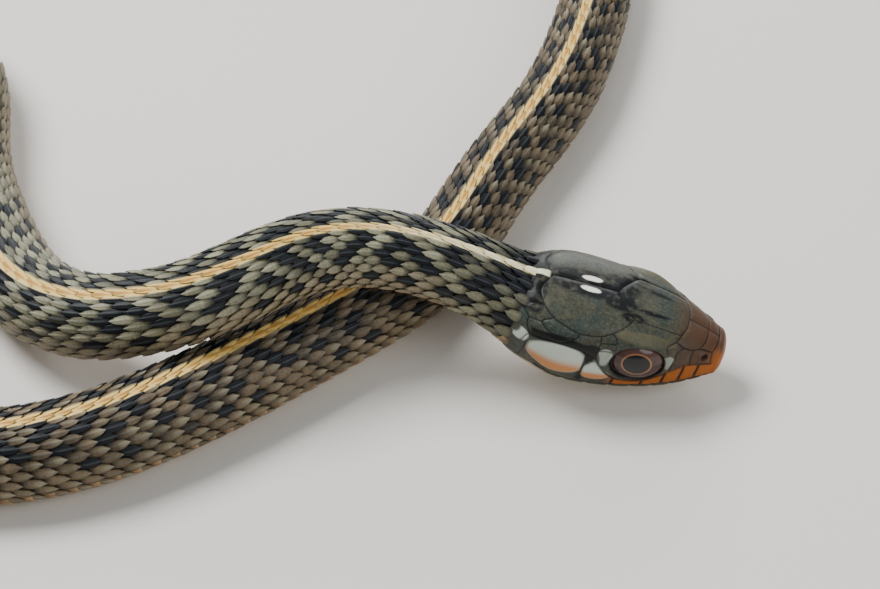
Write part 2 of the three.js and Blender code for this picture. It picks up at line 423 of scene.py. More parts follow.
def grid(columns: int, rows: int) -> Mesh:
    """Make a flat unit grid whose places run from 0 to 1 both ways.

    Args:
        columns: faces across.
        rows: faces along.

    Returns:
        The mesh, ready to be wrapped over a form.
    """
    sheet = bmesh.new()
    bmesh.ops.create_grid(sheet, x_segments=columns, y_segments=rows, size=0.5)
    bmesh.ops.translate(sheet, verts=sheet.verts, vec=(0.5, 0.5, 0))
    mesh = bpy.data.meshes.new("grid")
    sheet.to_mesh(mesh)
    sheet.free()
    return mesh


def places(mesh: Mesh) -> Array:
    """Read a mesh's vertices as an array."""
    flat = np.empty(len(mesh.vertices) * 3)
    mesh.vertices.foreach_get("co", flat)
    return flat.reshape(-1, 3)


def put(mesh: Mesh, points: Array) -> None:
    """Move a mesh's vertices to new places, given in millimetres."""
    mesh.vertices.foreach_set("co", (points * MM).ravel())
    mesh.update()


def paint(mesh: Mesh, shape: tuple[int, ...], marks: dict[str, Array]) -> None:
    """Store marks on a mesh, a number for each vertex, for the materials to read.

    Args:
        mesh: the mesh to mark.
        shape: the shape that the numbers are spread over, as many as the vertices.
        marks: the numbers by the mark's name.
    """
    for name, values in marks.items():
        layer = mesh.attributes.new(name, "FLOAT", "POINT")
        spread = np.broadcast_to(values, shape)
        layer.data.foreach_set("value", np.ascontiguousarray(spread, dtype=np.float32).ravel())


def unwrap(mesh: Mesh, places_uv: Array) -> None:
    """Give a mesh the map that its looks are baked on.

    Args:
        mesh: the mesh to map.
        places_uv: a place from 0 to 1 both ways for each vertex.
    """
    layer = mesh.uv_layers.new(name="OFBake")
    corner = np.empty(len(mesh.loops), dtype=np.int32)
    mesh.loops.foreach_get("vertex_index", corner)
    layer.data.foreach_set("uv", np.ascontiguousarray(places_uv[corner], dtype=np.float32).ravel())


def close_up(mesh: Mesh) -> None:
    """Merge the wrapped sheet's seam and poles, fill its open end and turn its faces outwards."""
    shell = bmesh.new()
    shell.from_mesh(mesh)
    bmesh.ops.remove_doubles(shell, verts=shell.verts, dist=1e-7)
    bmesh.ops.dissolve_degenerate(shell, dist=1e-8, edges=shell.edges)
    bmesh.ops.holes_fill(shell, edges=[edge for edge in shell.edges if edge.is_boundary], sides=0)
    bmesh.ops.recalc_face_normals(shell, faces=shell.faces)
    shell.to_mesh(mesh)
    shell.free()
    mesh.shade_smooth()


@dataclass(frozen=True)
class Blank:
    """One scale before it is set on the body: a closed thin shape with its faces."""

    points: Array
    faces: list[list[int]]

    @staticmethod
    def cut(columns: int, rows: int, tip: float) -> Blank:
        """Shape a blank from a grid, with a closed underside.

        Args:
            columns: faces across the scale.
            rows: faces along it.
            tip: how pointed its free end is, from 0 for a straight edge to 1.

        Returns:
            The blank, from -0.5 to 0.5 across and 0 to 1 along, with its height in z.
        """
        tip_rows, taper_start, taper_power = 1.6, 0.4, 2.4
        root_width, root_end, bow = 0.6, 0.35, 0.1
        leaf = bmesh.new()
        bmesh.ops.create_grid(leaf, x_segments=columns, y_segments=rows, size=0.5)
        bmesh.ops.translate(leaf, verts=leaf.verts, vec=(0, 0.5, 0))
        for vert in leaf.verts:
            across, along = vert.co.x, 1 - (1 - vert.co.y) ** tip_rows
            end = max(0.0, (along - taper_start) / (1 - taper_start))
            narrowing = 1 - tip * (1 - math.sqrt(max(0.0, 1 - end**taper_power)))
            narrowing *= root_width + (1 - root_width) * min(1.0, along / root_end)
            vert.co.x = across * narrowing
            vert.co.y = along - bow * tip * (2 * across) ** 2 * along
        rim = [edge for edge in leaf.edges if edge.is_boundary]
        made = bmesh.ops.extrude_edge_only(leaf, edges=rim)["geom"]
        under = [item for item in made if isinstance(item, bmesh.types.BMVert)]
        for vert in under:
            vert.co.z = -1
        floor_edges = [edge for edge in leaf.edges if edge.is_boundary]
        bmesh.ops.contextual_create(leaf, geom=floor_edges)
        bmesh.ops.recalc_face_normals(leaf, faces=leaf.faces)
        leaf.verts.index_update()
        points = np.array([vert.co[:] for vert in leaf.verts])
        faces = [[vert.index for vert in face.verts] for face in leaf.faces]
        leaf.free()
        return Blank(points, faces)


def repeat(name: str, blank: Blank, points: Array) -> Mesh:
    """Make one mesh of many copies of a blank.

    Args:
        name: the mesh's name.
        blank: the shape that is repeated.
        points: for each copy, the place of each of the blank's vertices, in millimetres.

    Returns:
        The joined mesh.
    """
    copies, count, _ = points.shape
    sizes = np.array([len(face) for face in blank.faces])
    corners = np.concatenate([np.array(face) for face in blank.faces])
    mesh = bpy.data.meshes.new(name)
    mesh.vertices.add(copies * count)
    mesh.loops.add(copies * len(corners))
    mesh.polygons.add(copies * len(sizes))
    shift = np.arange(copies)[:, None]
    mesh.loops.foreach_set("vertex_index", (corners[None] + shift * count).ravel().astype(np.int32))
    starts = np.concatenate([[0], np.cumsum(sizes)[:-1]])
    mesh.polygons.foreach_set("loop_start", (starts[None] + shift * len(corners)).ravel().astype(np.int32))
    put(mesh, points.reshape(-1, 3))
    mesh.update(calc_edges=True)
    mesh.validate()
    mesh.shade_smooth()
    return mesh


@dataclass
class ScaleRings:
    """The keeled scales of the back and flanks, in joined meshes that each cover a length of body."""

    form: Form
    coat: Coat
    marks: Markings
    breaks: tuple[float, ...] = (11.3, 50.0, 86.0, 122.0, 158.0, 200.0, 248.6)
    columns: int = 8
    rows: int = 6
    tip: float = 0.82
    overlap: float = 1.38
    spread: float = 1.2
    sunk: float = 0.13
    proud: float = 0.035
    keel: float = 0.05
    thick: float = 0.05
    dome: float = 0.022
    uneven_size: float = 0.04
    uneven_lift: float = 0.012
    least: float = 0.35
    fade_in: Pair = (12.5, 18)
    outline: Knots = ((0, 0.3), (0.35, 0.5), (0.7, 0.46), (1, 0.12))

    def roots(self, start: float, end: float) -> tuple[Array, Array]:
        """List the scales of one length.

        Args:
            start: where the length starts.
            end: where it ends.

        Returns:
            Each scale's place along the body, and its row.
        """
        found = []
        for ring in self.coat.stations(self.breaks[0], self.breaks[-1]):
            if start <= ring < end:
                between = 0.5 * float(smooth(self.coat.pitch, ring))
                reach = int(float(self.coat.half(ring)) + 0.25)
                found += [(ring + between * (row % 2), row) for row in range(-reach, reach + 1)]
        return tuple(np.array(found, float).T)

    def build(self) -> list[Object]:
        """Build every length of the coat and mark it.

        Returns:
            The joined pieces, from the neck to the tip of the tail.
        """
        blank = Blank.cut(self.columns, self.rows, self.tip)
        across, along, under = blank.points.T
        chance = np.random.default_rng(SEED)
        pieces = []
        for number, (start, end) in enumerate(zip(self.breaks, self.breaks[1:]), 1):
            root, row = (values[:, None] for values in self.roots(start, end))
            big = 1 + self.uneven_size * chance.standard_normal(root.shape)
            s = root + along * smooth(self.coat.pitch, root) * self.overlap * big
            phi = self.coat.angle(s, row + across * self.spread * big)
            crown = self.keel * hump(across, 0.07) + self.dome * (1 - (2 * across) ** 2)
            lift = -self.sunk + (self.sunk + self.proud) * ramp(along, -0.15, 0.8)
            lift = lift + crown * ramp(along, 0.0, 0.3)
            lift = np.where(under < 0, lift - self.thick, lift) * self.form.fullness(root, self.least)
            tilt = self.uneven_lift * chance.standard_normal(root.shape)
            mesh = repeat(f"scales_{number}", blank, self.form.cover(s, phi, lift + tilt))
            self.mark(mesh, root, row, blank, chance)
            pieces.append(new_object(f"scales_{number}", mesh))
        return pieces

    def mark(self, mesh: Mesh, root: Array, row: Array, blank: Blank, chance: np.random.Generator) -> None:
        """Store the markings of every scale, with painted highlights on its tip and keel and painted shade
        at its root, and lay it on a small patch of the map at its root's place.

        Args:
            mesh: the joined scales.
            root: where each scale grows.
            row: the row that it grows in.
            blank: the shape that they are copies of.
            chance: the seeded draw.
        """
        across, along, _ = blank.points.T
        at = root + 0.5 * smooth(self.coat.pitch, root) * self.overlap
        stripe = self.marks.stripe(at, row + across * self.spread)
        middle = np.abs(row) < 0.5
        wide = np.abs(across) / np.interp(along, *np.array(self.outline).T)
        faded = ramp(at, *self.fade_in)
        from_ember = np.hypot(across / 0.27, (along - 0.66) / 0.27)
        marks = {
            "dark": self.marks.dark(at, row) * (1 - stripe),
            "stripe": stripe,
            "rear": self.marks.rear(at),
            "low": ramp(self.coat.half(at) - np.abs(row), 4.6, 1.2) * faded,
            "tone": chance.random(root.shape),
            # Painted highlight: a pale patch of random strength on each scale's free tip, where it would
            # catch the light
            "lit": chance.random(root.shape) * hump(across, 0.3) * ramp(along, 0.45, 0.8) * faded,
            "rim": ramp(wide, 0.62, 0.98),
            # Painted shade at the root of each scale, where the scale before it overlaps it
            "root": ramp(along, 0.5, 0.2),
            # Painted highlight: a pale line down each scale's keel, where the ridge would catch the light
            "keel": hump(across, 0.06) * ramp(along, 0.3, 0.5),
            "ember": middle * ramp(from_ember, 1.0, 0.7) * ramp(at, 12, 24),
            "ember_edge": middle * hump(from_ember - 1.0, 0.16) * ramp(along, 0.5, 0.85) * ramp(at, 14, 30),
            "pale_stripe": stripe * ramp(at, 24, 13),
        }
        paint(mesh, (len(root), len(blank.points)), marks)
        start, end = root.min(), root.max() + 2
        u = (root - start) / (end - start) + 0.008 * along
        v = 0.5 + row / 26 + 0.016 * across
        unwrap(mesh, np.clip(np.stack([u, v], axis=-1), 0, 1).reshape(-1, 2))


@dataclass
class BellyPlates:
    """The wide plates of the belly and the paired ones under the tail."""

    form: Form
    coat: Coat
    marks: Markings
    edge: float = 106.0
    overlap: float = 1.3
    columns: int = 28
    rows: int = 4
    corner: float = 0.36
    sunk: float = 0.12
    bulge: float = 0.07
    thick: float = 0.08
    groove: float = 0.09

    def build(self) -> Object:
        """Build all the plates as one joined mesh.

        Returns:
            The plates.
        """
        blank = Blank.cut(self.columns, self.rows, 0.0)
        rings = self.coat.stations(11.0, 248.5)[:, None]
        across, along, under = blank.points.T
        length = smooth(self.coat.pitch, rings) * self.overlap
        phi = 180 + across * (360 - 2 * self.edge) - smooth(self.coat.roll, rings)
        corner = ramp(np.abs(across), self.corner, 0.5)
        s = rings + along * length - 0.3 * corner * length * along + 0.1 * corner
        lift = -self.sunk + self.sunk * ramp(along, 0, 0.8)
        lift = lift + self.bulge * hump(np.abs(across) - 0.44, 0.06) * ramp(along, 0, 0.5)
        lift = np.where(under < 0, lift - self.thick, lift) * self.form.fullness(rings, 0.3)
        split = np.where(s > VENT, self.groove * hump(across, 0.02), 0)
        mesh = repeat("belly_plates", blank, self.form.cover(s, phi, lift - split))
        chance = np.random.default_rng(SEED + 1)
        dark = self.marks.dark(rings + 0.4, np.sign(across) * self.marks.lines[-1].row)
        marks = {
            "dark": dark * ramp(np.abs(across), 0.42, 0.48) * ramp(along, 0.5, 0.2),
            "corner": ramp(np.abs(across), 0.3, 0.42),
            "tone": chance.random(rings.shape),
            "free_edge": ramp(along, 0.78, 1.0),
            # Painted shade at the root of each plate, where the plate before it overlaps it
            "root": ramp(along, 0.42, 0.22),
        }
        paint(mesh, s.shape, marks)
        u = (rings - rings[0]) / (rings[-1] - rings[0] + 2) + 0.004 * along
        unwrap(mesh, np.stack(np.broadcast_arrays(u, 0.5 + 0.9 * across), axis=-1).reshape(-1, 2))
        return new_object("belly_plates", mesh)


@dataclass
class Skin:
    """The one skin under the coat, from the snout to the tip of the tail."""

    form: Form
    coat: Coat
    marks: Markings
    columns: int = 96
    rows: int = 420
    inset: float = 0.16
    start: float = 0.5
    short: float = 0.6

    def build(self) -> Object:
        """Build the skin and mark it as the coat is marked.

        Returns:
            The skin.
        """
        mesh = grid(self.columns, self.rows)
        across, along, _ = places(mesh).T
        phi = across * 360 - 180
        s = self.start + (TOTAL - self.short) * np.clip(along, 1 / self.rows, 1 - 1 / self.rows)
        points = self.form.surface(s, phi, -self.inset * self.form.fullness(s, 0.25))
        ends = (along < 0.5 / self.rows) | (along > 1 - 0.5 / self.rows)
        points[ends] = self.form.axis(s[ends])
        row = self.coat.row(s, phi)
        past_rows = np.abs(row) - self.coat.half(s)
        stripe = self.marks.stripe(s, row) * ramp(s, 10, 11)
        paint(mesh, s.shape, {
            "stripe": stripe,
            "dark": self.marks.dark(s, row) * (1 - stripe) * ramp(past_rows, 1, 0.4),
            "belly": ramp(past_rows, -0.5, 0.5),
        })
        put(mesh, points)
        unwrap(mesh, np.stack([along, across], axis=-1))
        close_up(mesh)
        return new_object("skin", mesh)


@dataclass
class HeadShields:
    """The large horny shields of the head, with the seams between them, the lips and the nostrils."""

    form: Form
    columns: int = 360
    rows: int = 240
    front_rows: int = 14
    crowding: float = 1.35
    end: float = 12.3
    dome: float = 0.5
    raised: float = 0.02
    crown: float = 0.03
    seam_depth: float = 0.05
    mouth_depth: float = 0.2
    lip_swell: float = 0.05
    socket_rim: float = 0.06
    socket_depth: float = 0.7
    nostril_depth: float = 0.28
    nostril_rim: float = 0.06
    tuck: float = 0.22
    nostril: Pair = (1.15, 66.0)
    mouth: Knots = ((0, -0.62), (2, -1.25), (5, -1.9), (8, -1.95), (10.3, -1.45))
    seams: tuple[Knots, ...] = (
        ((10.4, 0), (6.6, 0)), ((2.45, 0), (0.55, 0)),
        ((6.6, 0), (6.1, 9), (5.7, 19), (5.5, 22)),
        ((5.5, 22), (4.3, 25), (2.75, 29)),
        ((5.5, 22), (5.9, 36), (6.5, 50)),
        ((2.45, 0), (2.5, 12), (2.75, 29), (2.95, 43)),
        ((10.4, 0), (11.0, 12), (11.1, 22), (10.55, 35), (9.85, 46), (9.2, 51), (8.3, 58), (7.1, 57),
         (6.5, 50)),
        ((1.25, 0), (1.3, 25), (1.55, 48)),
        ((0.55, 0), (0.62, 25), (0.78, 50), (0.8, 70), (0.72, 88)),
        ((2.95, 43), (2.4, 52), (1.9, 53), (1.55, 48), (0.78, 50)),
        ((2.4, 52), (2.75, 62), (2.8, 80), (2.9, 94)),
        ((1.9, 53), (1.95, 70), (1.9, 88)),
        ((2.95, 43), (3.4, 56), (3.3, 66)),
        ((6.5, 50), (6.2, 60), (6.25, 66)),
        ((0.72, 88), (1.9, 88), (2.9, 94), (3.5, 101), (4.2, 108), (5.4, 108), (6.0, 103), (6.8, 92),
         (7.7, 84), (9.2, 76), (10.9, 79), (11.2, 92)),
        ((7.1, 57), (7.05, 68), (7.1, 80), (6.8, 92)),
        ((6.25, 66), (7.05, 68)), ((6.35, 80), (7.1, 80)),
        ((8.3, 58), (8.45, 66), (9.2, 76)),
        ((9.85, 46), (10.45, 56), (9.75, 66), (8.45, 66)),
        ((10.45, 56), (11.3, 61), (11.2, 72), (10.9, 79)),
        ((10.55, 35), (11.3, 40), (11.9, 48), (11.3, 61)),
        ((0.8, 180), (7.2, 180)), ((0.8, 150), (4.0, 148), (8.0, 146), (10.4, 140)),
        ((3.4, 180), (3.5, 165), (3.3, 149)), ((6.0, 180), (6.1, 162), (5.8, 147)),
        ((7.2, 180), (7.6, 165), (7.2, 147)),
    )
    lip_line: Knots = (
        (0.7, 88), (1.9, 88), (2.9, 94), (4.2, 108), (5.4, 108), (6.8, 92), (7.7, 84), (9.2, 76),
        (10.9, 79),
    )
    lip_seams: Knots = (
        (1.35, 88), (2.15, 89), (3.05, 96), (4.15, 107), (5.75, 105), (7.6, 85), (10.9, 80),
    )
    jaw_seams: tuple[float, ...] = (0.8, 1.6, 2.5, 3.5, 4.6, 5.8, 7.1, 8.4, 9.6)

    def mouth_angle(self, s: Array) -> Array:
        """Find the angle at which the mouth line runs.

        Args:
            s: distances from the tip of the snout.

        Returns:
            The angle from the middle of the crown, in degrees.
        """
        angles = np.linspace(80, 160, 321)
        at, turn = np.meshgrid(s, angles, indexing="ij")
        off = np.abs(self.form.outline(at, turn)[1] - smooth(self.mouth, s)[:, None])
        return angles[off.argmin(axis=1)]

    def away(self, lines: list[Knots], points: Array) -> Array:
        """Measure how far points lie from the nearest of some lines on the head, drawn on both sides.

        Args:
            lines: each line's places and angles.
            points: the points in space.

        Returns:
            The distance of each point.
        """
        dense = []
        for line in lines:
            knots = np.array(line, float)
            legs = np.hypot(np.diff(knots[:, 0]), np.diff(knots[:, 1]) * 0.05)
            reach = np.concatenate([[0], np.cumsum(legs)])
            steps = np.linspace(0, reach[-1], max(2, int(reach[-1] / 0.03)))
            curve = [
                smooth(tuple(zip(reach, way)), steps) if len(knots) > 2 else np.interp(steps, reach, way)
                for way in knots.T
            ]
            dense.append(np.stack(curve, axis=-1))
        flat = np.concatenate(dense)
        both = np.concatenate([flat, flat * [1, -1]])
        tree = KDTree(len(both))
        for index, point in enumerate(self.form.surface(both[:, 0], both[:, 1])):
            tree.insert(point, index)
        tree.balance()
        return np.array([tree.find(point)[2] for point in points])

    def build(self) -> Object:
        """Build the shields as one closed shape and mark their colours.

        Returns:
            The head's covering.
        """
        mesh = grid(self.columns, self.rows)
        across, along, _ = places(mesh).T
        turn = 2 * across - 1
        phi = 180 * np.sign(turn) * np.abs(turn) ** self.crowding
        front_share = self.front_rows / self.rows
        front = np.clip(along / front_share, 0, 1)
        s = self.dome * (1 - np.cos(front * np.pi / 2))
        s = s + np.clip((along - front_share) / (1 - front_share), 0, 1) * (self.end - self.dome)
        shrink = np.sin(front * np.pi / 2)
        held = np.maximum(s, self.dome)
        base = self.form.surface(held, phi)
        centre = self.form.axis(held)
        at_front = self.form.axis(s)
        points = np.where((front < 1)[:, None], at_front + (base - centre) * shrink[:, None], base)

        lip_s = np.array([item[0] for item in self.lip_seams])
        lip_low = self.mouth_angle(lip_s + 0.1)
        lips = [((s0, a0), (s0 + 0.1, a1)) for (s0, a0), a1 in zip(self.lip_seams, lip_low)]
        jaw_top = self.mouth_angle(np.array(self.jaw_seams))
        jaws = [((s0, a0), (s0 + 0.3, 150.0)) for s0, a0 in zip(self.jaw_seams, jaw_top)]
        seam = self.away([*self.seams, *lips, *jaws], points)
        gape_s = np.linspace(0.05, 10.2, 40)
        gape = self.away([tuple(zip(gape_s, self.mouth_angle(gape_s)))], points)

        height = self.form.outline(held, phi)[1] * shrink
        below = smooth(self.mouth, s) - height
        gape = np.where(s < self.dome * 2, np.minimum(gape, np.abs(below)), gape)
        eye = np.hypot((s - EYE_S + 0.06) / (EYE_ALONG - 0.1), (height - EYE_UP) / EYE_TALL)
        eye = np.where((np.abs(phi) > 40) & (np.abs(phi) < 130), eye, 9)
        pit = (self.nostril, (self.nostril[0] + 0.12, self.nostril[1] + 5))
        nostril = self.away([pit], points)

        lift = self.raised + self.crown * ramp(seam, 0.02, 0.3) - self.seam_depth * hump(seam, 0.035)
        lift -= self.mouth_depth * hump(gape, 0.07) * ramp(10.5 - s, 0, 0.4)
        lift += self.lip_swell * hump(gape - 0.22, 0.14) * ramp(10.5 - s, 0, 1)
        lift += self.socket_rim * hump(eye - 1.13, 0.08) * ramp(height, -1.2, 0.4)
        lift -= self.socket_depth * ramp(eye, 1.05, 0.8)
        lift -= self.nostril_depth * hump(nostril, 0.11) - self.nostril_rim * hump(nostril - 0.2, 0.08)
        lift -= self.tuck * ramp(s, self.end - 1.0, self.end)
        out = points - at_front
        out /= np.linalg.norm(out, axis=-1, keepdims=True) + TINY
        flat = self.form.surface(held, phi, lift) - base
        points = points + np.where((front < 1)[:, None], out * lift[:, None], flat)
        put(mesh, points)
        self.mark(mesh, s, phi, {"seam": seam, "gape": gape, "eye": eye, "below": below})
        unwrap(mesh, np.stack([along, across], axis=-1))
        close_up(mesh)
        return new_object("head_shields", mesh)

    def oval(self, s: Array, side: Array, centre: Pair, half: Pair) -> Array:
        """Give 1 inside an oval round a place and angle, on both sides of the head, and 0 outside it."""
        return ramp(np.hypot((s - centre[0]) / half[0], (side - centre[1]) / half[1]), 1.08, 0.9)

    def mark(self, mesh: Mesh, s: Array, phi: Array, near: dict[str, Array]) -> None:
        """Store where each colour of the head lies.

        Args:
            mesh: the head's covering.
            s: distances from the tip of the snout.
            phi: angles round the head.
            near: distances to the seams and the mouth line and below it, and shares of the eye's size.
        """
        side = np.abs(phi)
        seam, gape, eye = near["seam"], near["gape"], near["eye"]
        lip_top = np.interp(s, *np.array(self.lip_line).T)
        lower = ramp(near["below"], 0, 0.08) * ramp(11.5 - s, 0, 1)
        on_lip = ramp(side - lip_top, -1, 2) * ramp(11.0 - s, 0, 0.3) * (1 - lower)
        long_lip = self.oval(s, side, (9.25, 93), (1.62, 15)) * on_lip
        next_lip = self.oval(s, side, (6.85, 100), (0.85, 10)) * on_lip
        behind_eye = self.oval(s, side, (6.62, 84), (0.4, 8))
        before_eye = self.oval(s, side, (3.1, 82), (0.3, 9))
        crescent = self.oval(s, side, (11.45, 85), (0.55, 8))
        crescent = crescent * ramp(np.hypot(s - 11.9, (side - 80) / 25), 0.35, 0.5)
        pale = np.maximum.reduce([long_lip, next_lip, 0.6 * behind_eye, 0.45 * before_eye, crescent])
        low_lip = np.maximum(long_lip * ramp(side, 90, 100), next_lip * ramp(side, 98, 104))
        front_lip = on_lip * ramp(s, 6.3, 5.6)
        above_lip = ramp(side - lip_top, -13, -9) * ramp(lip_top - side, -3, 0)
        temple = np.maximum.reduce([
            ramp(s, 7.0, 7.4) * ramp(s, 11.2, 10.8) * above_lip,
            self.oval(s, side, (7.45, 88), (0.65, 17)),
            on_lip * hump(s - 7.65, 0.25),
        ]) * (1 - pale)
        spots = self.oval(s, side, (8.2, 2.9), (0.58, 1.9)) * ramp(side, 1.0, 1.6)
        crown = np.maximum.reduce([
            hump(s - 8.6, 2.2) * hump(side, 9),
            hump(s - 6.4, 0.9) * hump(side - 6, 9),
            hump(s - 5.6, 0.6) * hump(side - 21, 6),
            0.6 * hump(s - 4.6, 1.2) * hump(side - 9, 3),
            ramp(s, 10.3, 11.2) * ramp(side, 2, 5) * ramp(side, 60, 35),
        ])
        jaw = np.maximum(lower * ramp(near["below"], 0.1, 0.35), ramp(side, 128, 140) * ramp(s, 0.5, 2))
        paint(mesh, s.shape, {
            "seam": hump(seam, 0.045), "bar": hump(seam, 0.1) * on_lip * (1 - 0.4 * long_lip),
            # Painted shade: the gape mark blackens the groove of the mouth line
            "gape": hump(gape, 0.08) * ramp(10.5 - s, 0, 0.3), "jaw": jaw,
            "pale": pale, "warm": low_lip, "dark": crown, "ink": temple, "spots": spots,
            "snout": ramp(s, 3.9, 1.4),
            "orange": np.maximum.reduce([
                ramp(s, 1.15, 0.35) * ramp(side, 20, 70), front_lip, ramp(s, 0.3, 0.05),
            ]),
            # Painted shade: the socket mark blackens the sunk skin of the eye socket
            "brow": self.oval(s, side, (4.6, 50), (1.7, 10)), "socket": ramp(eye, 1.06, 0.98),
            "stripe": ramp(s, 10.5, 10.8) * ramp(side, 3.4, 2.2),
        })


@dataclass
class Eye:
    """One eye under its clear scale, set where the solid eye lies."""

    side: Side
    form: Form
    columns: int = 128
    rows: int = 96
    toe_in: float = math.radians(10)
    turn_forward: float = math.radians(-6)
    turn_up: float = math.radians(12)

    @property
    def node(self) -> str:
        """Name the solid that this eye stands for."""
        return f"eye_{self.side.name.lower()}"

    def build(self) -> Object:
        """Build the eye, with its pupil, ring and iris marked by their angle from the way it looks.

        Returns:
            The eye.
        """
        ball = bmesh.new()
        bmesh.ops.create_uvsphere(ball, u_segments=self.columns, v_segments=self.rows, radius=1)
        mesh = bpy.data.meshes.new(f"{self.node}_ball")
        ball.to_mesh(mesh)
        ball.free()
        unit = places(mesh)
        low, high = (np.array(corner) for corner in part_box(self.node))
        centre = (low + high) / 2 / MM
        _, left, up = (value[0] for value in self.form.frame(np.array([EYE_S])))
        sign = self.side.value
        out, rise, ahead = (unit * [EYE_DEEP * sign, EYE_TALL, EYE_ALONG]).T[..., None]
        sine, cosine = math.sin(self.toe_in), math.cos(self.toe_in)
        outward, onward = out * cosine - ahead * sine, ahead * cosine + out * sine
        put(mesh, centre + sign * outward * left + rise * up + onward * np.cross(left, up))
        flat = math.cos(self.turn_up)
        gaze = np.array([
            sign * flat * math.cos(self.turn_forward), math.sin(self.turn_up),
            flat * math.sin(self.turn_forward),
        ])
        away = np.degrees(np.arccos(np.clip(unit @ gaze, -1, 1)))
        around = np.arctan2(unit[:, 1] - gaze[1], unit[:, 2] - gaze[2])
        paint(mesh, away.shape, {
            "gaze": away,
            "streak": 0.5 + 0.25 * np.sin(11 * around) + 0.25 * np.sin(27 * around + 2),
            "high": ramp(unit[:, 1], 0.0, 0.7),
        })
        unwrap(mesh, 0.5 + 0.45 * unit[:, 2:0:-1])
        mesh.shade_smooth()
        return new_object(f"{self.node}_ball", mesh)


def linear(code: str) -> tuple[float, float, float, float]:
    """Turn an sRGB hex colour into the linear colour that a shader takes."""
    parts = [int(code[i:i + 2], 16) / 255 for i in (1, 3, 5)]
    flat = [part / 12.92 if part <= 0.04045 else ((part + 0.055) / 1.055) ** 2.4 for part in parts]
    return (*flat, 1.0)


@dataclass(frozen=True)
class Tint:
    """One colour laid over those before it.

    It lies where the mesh's own mark runs from low to high, and where a grain of a real size, if it has
    one, breaks it up. With no mark the grain alone places it.
    """

    colour: str
    mark: str = ""
    share: float = 1.0
    low: float = 0.0
    high: float = 1.0
    grain_mm: float = 0.0
    patchy: float = 0.5


@dataclass(frozen=True)
class Finish:
    """A covering: what it is, its ground colour and those over it, and how smooth it is."""

    name: str
    ground: str
    tints: tuple[Tint, ...] = ()
    roughness: float = 0.45
    ior: float = 1.5
    gloss: float = 0.5
    relief_mm: float = 0.0
    relief_grain_mm: float = 0.1
    wet: float = 0.0

    def build(self) -> Material:
        """Build the material.

        Returns:
            The material, with its tints mixed in order.
        """
        material = bpy.data.materials.new(self.name)
        material.use_nodes = True
        tree = material.node_tree
        tree.nodes.clear()
        colour: object = linear(self.ground)
        places = add_node(tree, "TexCoord", read="Object")
        for tint in self.tints:
            share: object = tint.share
            if tint.mark:
                mark = add_node(tree, "Attribute", {"attribute_name": tint.mark}, "Fac")
                reach = {"From_Min": tint.low, "From_Max": tint.high, "To_Max": tint.share}
                share = add_node(tree, "MapRange", Value=mark, **reach)
            if tint.grain_mm:
                grain = add_node(tree, "TexNoise", Vector=places, Scale=1 / (tint.grain_mm * MM), Detail=3.0)
                reach = {"From_Min": tint.patchy - 0.1, "From_Max": tint.patchy + 0.1}
                lumps = add_node(tree, "MapRange", Value=grain, **reach)
                share = add_node(tree, "Math", {"operation": "MULTIPLY"}, Value=[share, lumps])
            above = linear(tint.colour)
            colour = add_node(tree, "Mix", {"data_type": "RGBA"}, Factor=share, A=colour, B=above)
        inputs = {
            "Base_Color": colour, "Roughness": self.roughness, "IOR": self.ior,
            "Specular_IOR_Level": self.gloss,
        }
        if self.relief_mm:
            scale = 1 / (self.relief_grain_mm * MM)
            fine = add_node(tree, "TexNoise", Vector=places, Scale=scale, Detail=2.0)
            inputs["Normal"] = add_node(tree, "Bump", Height=fine, Distance=self.relief_mm * MM)
        if self.wet:
            inputs |= {"Coat_Weight": self.wet, "Coat_Roughness": 0.03}
        surface = add_node(tree, "BsdfPrincipled", **inputs)
        add_node(tree, "OutputMaterial", Surface=surface)
        return material


def add_node(
    tree: NodeTree, kind: str, settings: dict[str, object] | None = None, read: str = "", **inputs: object,
) -> NodeSocket | None:
    """Add a node with its settings and links.

    Args:
        tree: the tree that takes it.
        kind: the node's kind, without its ShaderNode prefix.
        settings: properties of the node itself.
        read: the output to give back, or nothing for the first one that shows.
        **inputs: sockets by name, with underscores for spaces. Each takes a value, a socket to link, or
            a list of them where several sockets share the name.

    Returns:
        The output, or None where the node has none.
    """
    node = tree.nodes.new(f"ShaderNode{kind}")
    for key, value in (settings or {}).items():
        setattr(node, key, value)
    for key, value in inputs.items():
        sockets = [item for item in node.inputs if item.enabled and item.name == key.replace("_", " ")]
        for socket, item in zip(sockets, value if isinstance(value, list) else [value]):
            if isinstance(item, NodeSocket):
                tree.links.new(item, socket)
            else:
                socket.default_value = item
    if read:
        return node.outputs[read]
    return next((item for item in node.outputs if item.enabled), None)


# Keratin of the keeled scales: thin and horny. Its fine ridges leave little of the shine
SCALE_KERATIN = Finish(
    name="keeled_scale_keratin",
    ground="#66644F",
    tints=(
        Tint("#8F8D74", "tone", low=0.25),
        Tint("#94866A", "low", 0.85),
        Tint("#43392B", "rear", 0.95),
        Tint("#6B5B45", "rear", 0.85, grain_mm=1.9),
        Tint("#7A694E", "low", 0.4),
        Tint("#2E2B23", share=0.45, grain_mm=0.11, patchy=0.57),
        # Painted highlight on the free tips of the scales
        Tint("#A39E84", "lit", 0.4, 0.1, 0.8),
        Tint("#221F18", "rim", 0.6),
        # Painted shade at the roots of the scales, under the overlap of the scales before them
        Tint("#12100C", "root", 0.8),
        Tint("#060A10", "dark", 0.98),
        # Painted highlight along the keels, bluish grey over the dark checks
        Tint("#5C6468", "keel", 0.3),
        Tint("#D6B76C", "stripe"),
        Tint("#DDD5AE", "pale_stripe"),
        Tint("#B4762A", "ember", 0.9),
        Tint("#3A2410", "ember_edge", 0.7),
    ),
    roughness=0.46,
    gloss=0.18,
    relief_mm=0.01,
    relief_grain_mm=0.07,
)

